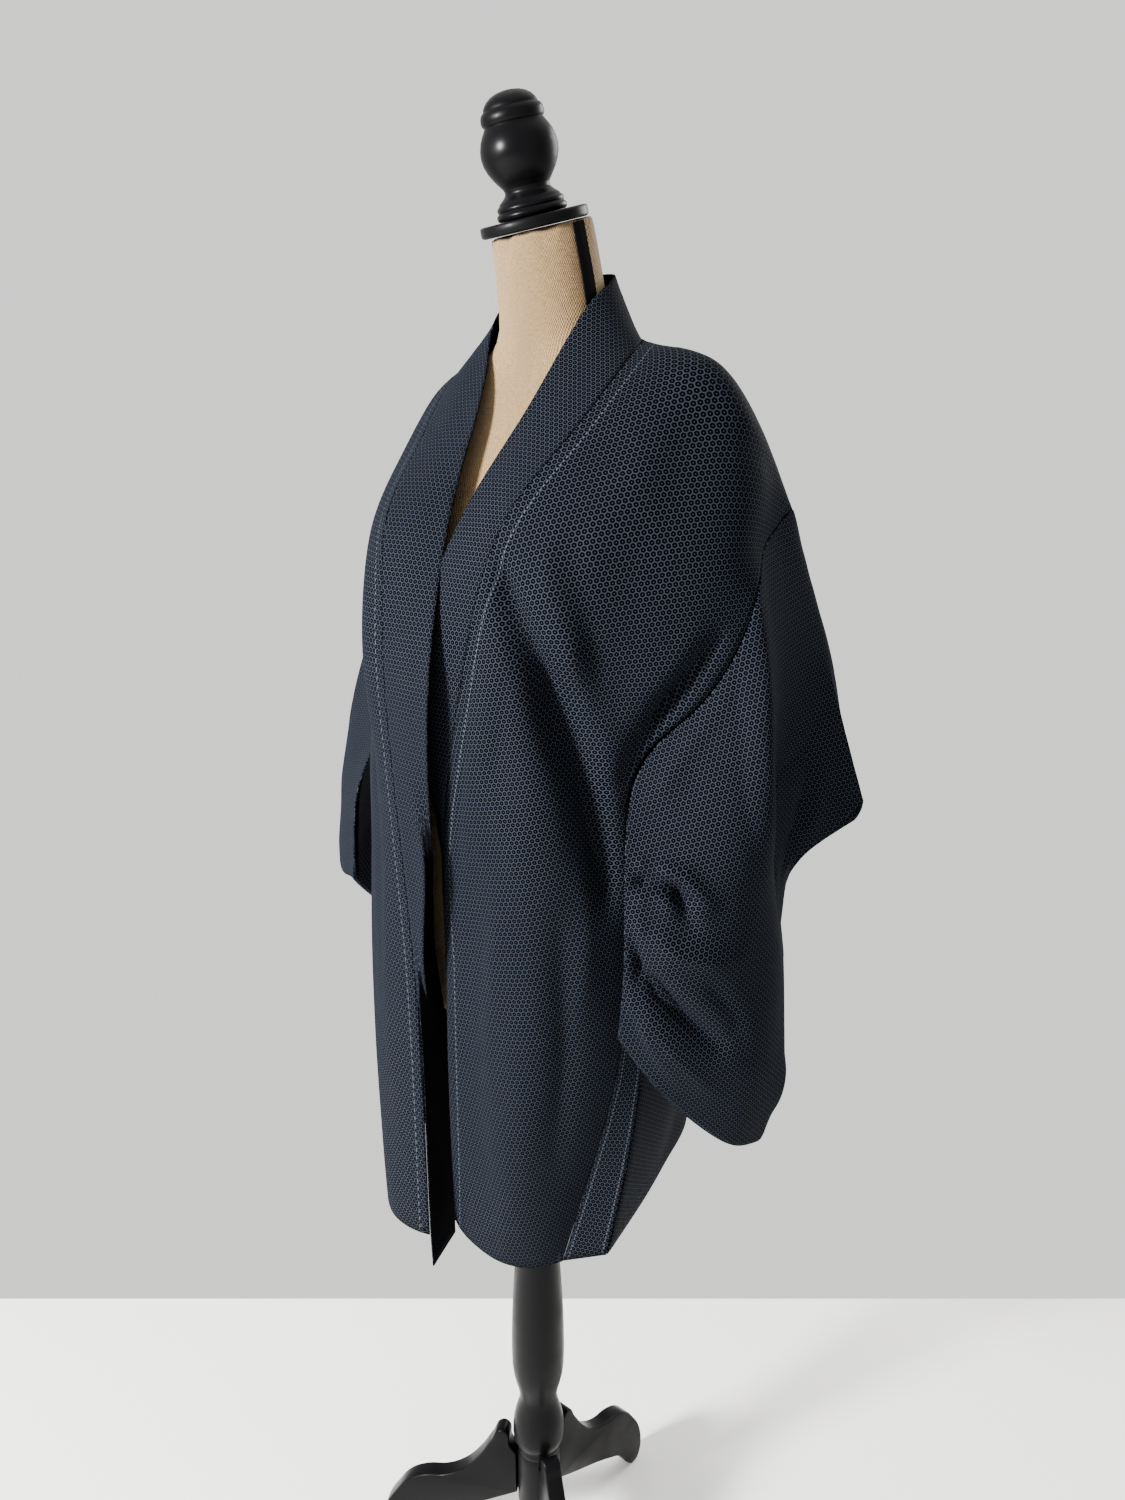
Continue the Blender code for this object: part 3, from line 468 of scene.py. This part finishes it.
def outerSheet(name):
    piece = copyOfNode(name, "cloth_" + name)
    shape = bmesh.new()
    shape.from_mesh(piece.data)
    shape.normal_update()
    groups = layersOf(shape)

    def facingOut(found):
        total = 0.0
        for face in found:
            away = face.calc_center_median() - Vector((axisX, axisY, 0))
            away.z = 0
            total += face.calc_area() * face.normal.dot(away.normalized())
        return total
    outer = set(groups[0] if name.startswith("sleeve") else max(groups[:2], key=facingOut))
    print("   ", name, [len(found) for found in groups[:4]], "of", len(shape.faces))
    bmesh.ops.delete(shape, geom=[face for face in shape.faces if face not in outer], context="FACES")
    shape.normal_update()
    middle = [vertex.co - vertex.normal * clothSizes["wall"] / 2 for vertex in shape.verts]
    for vertex, place in zip(shape.verts, middle):
        vertex.co = place
    sharp = shape.edges.layers.float.new("crease_edge")
    for edge in shape.edges:
        edge.seam = len(edge.link_faces) == 2 and edge.calc_face_angle() > math.radians(75)
        bend = math.degrees(edge.calc_face_angle()) if len(edge.link_faces) == 2 else 0
        edge[sharp] = 0.85 if name.startswith("sleeve") and bend > 38 else 0.7 if edge.seam else 0.0
    shape.to_mesh(piece.data)
    shape.free()
    return piece


def unwrapAlongCloth(piece, strip):
    # the pattern's place: metres across and along the cloth
    pick(piece)
    bpy.ops.object.mode_set(mode="EDIT")
    bpy.ops.mesh.select_all(action="SELECT")
    bpy.ops.mesh.tris_convert_to_quads(face_threshold=math.radians(60), shape_threshold=math.radians(60))
    bpy.ops.uv.unwrap(method="ANGLE_BASED", margin=0.0)
    bpy.ops.object.mode_set(mode="OBJECT")
    shape = bmesh.new()
    shape.from_mesh(piece.data)
    place = shape.loops.layers.uv.active
    left = set(shape.faces)
    while left:
        stack, island = [left.pop()], []
        while stack:
            face = stack.pop()
            island.append(face)
            for edge in face.edges:
                if edge.seam:
                    continue
                for other in edge.link_faces:
                    if other in left:
                        left.remove(other)
                        stack.append(other)
        flat, real = 0.0, 0.0
        lean = np.zeros(2)
        spots = []
        for face in island:
            corners = [np.array(loop[place].uv) for loop in face.loops]
            heights = [loop.vert.co.z for loop in face.loops]
            area = 0.0
            for i in range(1, len(corners) - 1):
                a, b = corners[i] - corners[0], corners[i + 1] - corners[0]
                area += (a[0] * b[1] - a[1] * b[0]) / 2
            flat += abs(area)
            real += face.calc_area()
            spots += corners
            matrix = np.array([[*corner, 1] for corner in corners])
            slope = np.linalg.lstsq(matrix, np.array(heights), rcond=None)[0][:2]
            lean += slope / max(np.linalg.norm(slope), 1e-9) * face.calc_area()
        if strip:
            spread = np.array(spots) - np.mean(spots, axis=0)
            lean = np.linalg.svd(spread, full_matrices=False)[2][0]
        lean = lean / max(np.linalg.norm(lean), 1e-9)
        scale = math.sqrt(real / max(flat, 1e-12))
        for face in island:
            for loop in face.loops:
                u, v = loop[place].uv
                loop[place].uv = (scale * (u * lean[1] - v * lean[0]), scale * (u * lean[0] + v * lean[1]))
    shape.to_mesh(piece.data)
    shape.free()
    return real


sewnTo = {"body_left": ["collar", "machi_left", "body_right"], "body_right": ["collar", "machi_right"]}
sewing = {"reach": 0.009, "left": 0.0006}


def surfaceOf(name):
    node = nodes[name]
    corners = [node.matrix_world @ vertex.co for vertex in node.data.vertices]
    return BVHTree.FromPolygons(corners, [list(face.vertices) for face in node.data.polygons])


def sewSheet(piece, neighbours):
    # the open edge is drawn up to the piece that it is sewn to
    surfaces = [surfaceOf(name) for name in neighbours]
    shape = bmesh.new()
    shape.from_mesh(piece.data)
    for vertex in shape.verts:
        if not vertex.is_boundary:
            continue
        found = [surface.find_nearest(vertex.co, sewing["reach"]) for surface in surfaces]
        found = [hit for hit in found if hit[0] is not None]
        if found:
            place, _, _, distance = min(found, key=lambda hit: hit[3])
            if distance > sewing["left"]:
                vertex.co += (place - vertex.co) * (1 - sewing["left"] / distance)
    shape.to_mesh(piece.data)
    shape.free()


def seamAttribute(piece, name, neighbours):
    # how far each place is from the seam, which the stitches follow
    count = len(piece.data.vertices)
    values = [1.0] * count
    if neighbours:
        surface = surfaceOf(neighbours[0])
        values = [surface.find_nearest(vertex.co)[3] + seamShift[name] for vertex in piece.data.vertices]
    made = piece.data.attributes.new("seamDistance", "FLOAT", "POINT")
    made.data.foreach_set("value", values)


def creaseSheet(piece, name):
    mesh = piece.data
    count = len(mesh.vertices)
    places = np.empty(count * 3)
    mesh.vertices.foreach_get("co", places)
    places = places.reshape(-1, 3)
    normals = np.empty(count * 3)
    mesh.vertices.foreach_get("normal", normals)
    normals = normals.reshape(-1, 3)
    shape = bmesh.new()
    shape.from_mesh(mesh)
    border = np.array([vertex.co for vertex in shape.verts if vertex.is_boundary])
    shape.free()
    toEdge = np.array([np.min(np.linalg.norm(border - place, axis=1)) for place in places])
    calm = np.clip(toEdge / clothSizes["edgeCalm"], 0, 1)
    calm = calm * calm * (3 - 2 * calm)
    lift = np.zeros(count)
    for line, halfWidth, height in creases[name]:
        points = np.array(line) / 1000
        lengths = np.linalg.norm(np.diff(points, axis=0), axis=1)
        total = lengths.sum()
        nearest = np.full(count, 9.0)
        along = np.zeros(count)
        passed = 0.0
        for a, b, length in zip(points, points[1:], lengths):
            share = np.clip(((places - a) @ (b - a)) / length ** 2, 0, 1)
            distance = np.linalg.norm(places - (a + share[:, None] * (b - a)), axis=1)
            closer = distance < nearest
            nearest[closer] = distance[closer]
            along[closer] = (passed + share[closer] * length) / total
            passed += length
        width = halfWidth / 1000 * (0.75 + 0.5 * along)
        bell = np.exp(-(nearest / width) ** 1.35) - 0.25 * np.exp(-(nearest / (2.4 * width)) ** 2)
        taper = np.sin(np.pi * (0.08 + 0.84 * along)) ** 0.7
        lift += bell * taper * height / 1000
    mesh.vertices.foreach_set("co", (places + normals * (lift * calm)[:, None]).ravel())
    mesh.update()


stitchedTo = {"body_left": ["collar"], "body_right": ["collar"], "machi_left": ["body_left"], "machi_right": ["body_right"]}
seamShift = {"body_left": 0.0, "body_right": 0.0, "machi_left": 0.007, "machi_right": 0.007}
for name in clothNames:
    print("cloth", name)
    piece = outerSheet(name)
    unwrapAlongCloth(piece, strip=not name.startswith("sleeve"))
    smoother = piece.modifiers.new("Smooth", "SUBSURF")
    smoother.boundary_smooth = "PRESERVE_CORNERS"
    smoother.levels = clothLevels[name]
    smoother.render_levels = clothLevels[name]
    applyModifiers(piece)
    sewSheet(piece, sewnTo.get(name, []))
    seamAttribute(piece, name, stitchedTo.get(name))
    creaseSheet(piece, name)
    thick = piece.modifiers.new("Wall", "SOLIDIFY")
    thick.thickness = clothSizes["wall"]
    thick.offset = 0
    # inner faces of the bodies, machi and collar take the dark inside colour, painted shade for the inside of the
    # garment
    thick.material_offset = 0 if name.startswith("sleeve") else 1
    piece.data.materials.append(tsumugi)
    piece.data.materials.append(inside)
    applyModifiers(piece)
    bpy.ops.object.shade_smooth()
    # painted shade: the collar band's faces that turn away from the window light get the dark inside colour
    if name == "collar":
        for face in piece.data.polygons:
            if face.center.z < 0.985 and -0.06 < face.center.x < 0.012 and face.normal.x > 0.35:
                face.material_index = 1
    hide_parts(name)
    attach(piece, "root")

# ---- dress form ------------------------------------------------------------------------------
print("dress form")


def smoothCopy(name, newName, finish, levels):
    piece = copyOfNode(name, newName)
    bpy.ops.object.mode_set(mode="EDIT")
    bpy.ops.mesh.select_all(action="SELECT")
    bpy.ops.mesh.tris_convert_to_quads(face_threshold=math.radians(60), shape_threshold=math.radians(60))
    bpy.ops.object.mode_set(mode="OBJECT")
    smoother = piece.modifiers.new("Smooth", "SUBSURF")
    smoother.levels = levels
    smoother.render_levels = levels
    applyModifiers(piece)
    bpy.ops.object.shade_smooth()
    piece.data.materials.append(finish)
    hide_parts(name)
    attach(piece, "root")
    return piece


torso = smoothCopy("torso", "burlap_torso", burlap, 1)
wrapSizes = {"radius": 0.11}
wrap = torso.data.uv_layers.new(name="round")
for face in torso.data.polygons:
    turns = [math.atan2(torso.data.vertices[torso.data.loops[loop].vertex_index].co.x - axisX,
                        -(torso.data.vertices[torso.data.loops[loop].vertex_index].co.y - axisY)) for loop in face.loop_indices]
    for loop, turn in zip(face.loop_indices, turns):
        if max(turns) - min(turns) > math.pi and turn < 0:
            turn += 2 * math.pi
        wrap.data[loop].uv = (turn * wrapSizes["radius"], torso.data.vertices[torso.data.loops[loop].vertex_index].co.z)
for side in ("left", "right"):
    tape = copyOfNode("neck_ribbon_" + side, "ribbon_" + side)
    tape.data.materials.append(ribbonTape)
    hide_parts("neck_ribbon_" + side)
    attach(tape, "root")

# ---- turned wood -----------------------------------------------------------------------------
print("turned wood")

neckTop = {"place": (0, 0.0185, 1.534), "slopeSide": 0.10, "slopeBack": 0.25}
turned = {
    "neck_cap": {"sides": 72, "profile": [(0, 0.0462), (0.0006, 0.0478), (0.0018, 0.0489), (0.005, 0.049), (0.0084, 0.0489),
                                          (0.0095, 0.048), (0.01, 0.0462)]},
    "finial": {"sides": 64, "profile": [
        (0, 0.0296), (0.0012, 0.0312), (0.0034, 0.0318), (0.0052, 0.0315), (0.0064, 0.0300), (0.0074, 0.0296),
        (0.0084, 0.0303), (0.0100, 0.0303), (0.0116, 0.0293), (0.0128, 0.0277), (0.0140, 0.0274), (0.0162, 0.0248),
        (0.0185, 0.0221), (0.0204, 0.0206), (0.0225, 0.0202), (0.0248, 0.0211), (0.0290, 0.0243), (0.0340, 0.0280),
        (0.0400, 0.0314), (0.0460, 0.0337), (0.0520, 0.0345), (0.0580, 0.0339), (0.0640, 0.0320), (0.0690, 0.0294),
        (0.0730, 0.0268), (0.0745, 0.0262), (0.0752, 0.0268), (0.0762, 0.0277), (0.0790, 0.0281), (0.0820, 0.0277),
        (0.0848, 0.0264), (0.0860, 0.0248), (0.0868, 0.0240), (0.0880, 0.0239), (0.0905, 0.0225), (0.0935, 0.0199),
        (0.0962, 0.0160), (0.0981, 0.0113), (0.0991, 0.0062), (0.0995, 0.0020)]},
    "post": {"sides": 64, "profile": [
        (0.176, 0.0247), (0.178, 0.0252), (0.182, 0.0250), (0.1850, 0.0244), (0.1875, 0.0252), (0.190, 0.0280),
        (0.194, 0.0299), (0.202, 0.0306), (0.212, 0.0304), (0.222, 0.0293), (0.232, 0.0272), (0.242, 0.0241),
        (0.250, 0.0224), (0.2555, 0.0219), (0.258, 0.0222), (0.266, 0.0236), (0.276, 0.0262), (0.288, 0.0288),
        (0.302, 0.0303), (0.325, 0.0308), (0.350, 0.0305), (0.375, 0.0297), (0.400, 0.0285), (0.430, 0.0266),
        (0.460, 0.0245), (0.490, 0.0227), (0.520, 0.0215), (0.600, 0.0206), (0.7512, 0.0200)]},
    "hub": {"sides": 64, "profile": [(0.088, 0.0178), (0.090, 0.0208), (0.094, 0.0240), (0.098, 0.0252), (0.102, 0.0255),
                                     (0.130, 0.0255), (0.166, 0.0255), (0.170, 0.0251), (0.174, 0.0241), (0.1757, 0.0232)]},
}


def turnPiece(name, finish, place=(0, 0, 0), upright=(0, 0, 1)):
    sizes = turned[name]
    clearSelection()
    height, radius = sizes["profile"][0]
    bpy.ops.mesh.primitive_circle_add(vertices=sizes["sides"], radius=radius, fill_type="NOTHING", location=(0, 0, 0))
    piece = bpy.context.object
    piece.name = "turned_" + name
    bpy.ops.object.mode_set(mode="EDIT")
    bpy.ops.mesh.select_all(action="SELECT")
    bpy.ops.transform.translate(value=(0, 0, height))
    bpy.ops.mesh.edge_face_add()
    for nextHeight, nextRadius in sizes["profile"][1:]:
        bpy.ops.mesh.extrude_region_move(TRANSFORM_OT_translate={"value": (0, 0, nextHeight - height)})
        bpy.ops.transform.resize(value=(nextRadius / radius, nextRadius / radius, 1), center_override=(0, 0, nextHeight))
        height, radius = nextHeight, nextRadius
    bpy.ops.mesh.select_all(action="SELECT")
    bpy.ops.mesh.normals_make_consistent(inside=False)
    bpy.ops.object.mode_set(mode="OBJECT")
    bpy.ops.object.shade_smooth_by_angle(angle=math.radians(50))
    piece.rotation_euler = Vector(upright).to_track_quat("Z", "Y").to_euler()
    piece.location = Vector(place) + Vector((axisX, axisY, 0))
    bpy.ops.object.transform_apply(location=True, rotation=True, scale=True)
    piece.data.materials.append(finish)
    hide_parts(name)
    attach(piece, "root")
    return piece


upright = Vector((-neckTop["slopeSide"], -neckTop["slopeBack"], 1)).normalized()
capOffset = Vector((-0.004, -0.004, -0.004 * neckTop["slopeSide"] - 0.004 * neckTop["slopeBack"]))
capPlace = Vector(neckTop["place"]) + capOffset + upright * 0.0003
turnPiece("neck_cap", lacquer, capPlace, upright)
turnPiece("finial", lacquer, capPlace + upright * 0.0103, upright)
turnPiece("post", lacquer)
turnPiece("hub", lacquer)

# ---- legs ------------------------------------------------------------------------------------
legSizes = {
    "thick": 0.020, "bevel": 0.0022, "firstAngle": 84, "count": 3,
    "outline": [(0.0258, 0.166), (0.0340, 0.178), (0.0370, 0.196), (0.046, 0.199), (0.058, 0.180), (0.075, 0.152),
                (0.095, 0.130), (0.118, 0.117), (0.143, 0.112), (0.165, 0.100), (0.182, 0.078), (0.196, 0.052),
                (0.201, 0.024), (0.198, 0.008), (0.192, 0.000), (0.180, 0.000), (0.172, 0.008), (0.162, 0.024),
                (0.150, 0.038), (0.132, 0.050), (0.105, 0.066), (0.078, 0.080), (0.055, 0.092), (0.0258, 0.108)],
    "sharp": [0, 14, 15, 23],
}


def legBoard():
    # the outline is drawn as a closed curve, then cut as a board with eased edges
    clearSelection()
    curve = bpy.data.curves.new("leg outline", "CURVE")
    curve.dimensions = "2D"
    curve.fill_mode = "BOTH"
    curve.extrude = legSizes["thick"] / 2 - legSizes["bevel"]
    curve.bevel_depth = legSizes["bevel"]
    curve.bevel_resolution = 2
    curve.offset = -legSizes["bevel"]
    curve.resolution_u = 5
    spline = curve.splines.new("BEZIER")
    spline.bezier_points.add(len(legSizes["outline"]) - 1)
    spline.use_cyclic_u = True
    for index, (point, (outward, height)) in enumerate(zip(spline.bezier_points, legSizes["outline"])):
        point.co = (outward, height, 0)
        kind = "VECTOR" if index in legSizes["sharp"] else "AUTO"
        point.handle_left_type = kind
        point.handle_right_type = kind
    board = bpy.data.objects.new("leg board", curve)
    bpy.context.scene.collection.objects.link(board)
    pick(board)
    bpy.ops.object.convert(target="MESH")
    board = bpy.context.object
    bpy.ops.object.mode_set(mode="EDIT")
    bpy.ops.mesh.select_all(action="SELECT")
    bpy.ops.mesh.remove_doubles(threshold=0.00002)
    bpy.ops.mesh.normals_make_consistent(inside=False)
    bpy.ops.object.mode_set(mode="OBJECT")
    board.rotation_euler = (math.pi / 2, 0, 0)
    bpy.ops.object.transform_apply(location=True, rotation=True, scale=True)
    return board


print("legs")
board = legBoard()
for index in range(legSizes["count"]):
    leg = board.copy()
    leg.data = board.data.copy()
    leg.name = "sawn_leg_%d" % (index + 1)
    bpy.context.scene.collection.objects.link(leg)
    pick(leg)
    leg.rotation_euler = (0, 0, math.radians(legSizes["firstAngle"] + 360 / legSizes["count"] * index))
    leg.location = (axisX, axisY, 0)
    bpy.ops.object.transform_apply(location=True, rotation=True, scale=True)
    bpy.ops.object.shade_smooth_by_angle(angle=math.radians(40))
    leg.data.materials.append(lacquer)
    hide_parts("leg_%d" % (index + 1))
    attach(leg, "root")
bpy.data.objects.remove(board)

# ---- room, light and camera ------------------------------------------------------------------
print("room, light and camera")
room = {"floor": (0.80, 0.79, 0.76), "wall": (0.93, 0.93, 0.91), "strength": 1.25, "floorEnd": 0.40}
clearSelection()
bpy.ops.mesh.primitive_plane_add(size=8, location=(0, 0, -0.0005))
floor = bpy.context.object
floor.name = "pale_floor"
floor.rotation_euler = (0, 0, math.radians(34))
floor.location = (math.sin(math.radians(34)) * (4 - room["floorEnd"]), -math.cos(math.radians(34)) * (4 - room["floorEnd"]), -0.0005)
bpy.ops.object.transform_apply(location=True, rotation=True, scale=True)
floorPaint, floorTree, floorShader = startMaterial("pale floor", room["floor"], 0.7)
floor.data.materials.append(floorPaint)

world = bpy.data.worlds.new("pale room")
bpy.context.scene.world = world
world.use_nodes = True
world.node_tree.nodes["Background"].inputs["Color"].default_value = (*room["wall"], 1)
world.node_tree.nodes["Background"].inputs["Strength"].default_value = room["strength"]

lamps = {
    "window": {"place": (-1.1, -2.7, 1.95), "aim": (0, 0, 1.0), "size": 0.6, "power": 600},
    "fill": {"place": (2.6, -1.2, 1.8), "aim": (0, 0, 1.0), "size": 2.2, "power": 4},
    "rear": {"place": (0.6, 2.7, 2.3), "aim": (0, 0, 1.0), "size": 1.6, "power": 90},
    "ceiling": {"place": (0.2, 0.4, 3.4), "aim": (0, 0, 1.0), "size": 2.5, "power": 22},
}
for name, sizes in lamps.items():
    light = bpy.data.lights.new(name, "AREA")
    light.size = sizes["size"]
    light.energy = sizes["power"]
    lamp = bpy.data.objects.new(name, light)
    lamp.location = sizes["place"]
    lamp.rotation_euler = (Vector(sizes["aim"]) - Vector(sizes["place"])).to_track_quat("-Z", "Y").to_euler()
    bpy.context.scene.collection.objects.link(lamp)

view = {"place": (0.6396, -0.9401, 1.374), "turn": 34.0, "down": 16.3, "lens": 27.6}
cameraData = bpy.data.cameras.new("photo view")
cameraData.sensor_width = 36
cameraData.lens = view["lens"]
camera = bpy.data.objects.new("photo view", cameraData)
camera.location = view["place"]
camera.rotation_euler = (math.radians(90 - view["down"]), 0, math.radians(view["turn"]))
bpy.context.scene.collection.objects.link(camera)
bpy.context.scene.camera = camera
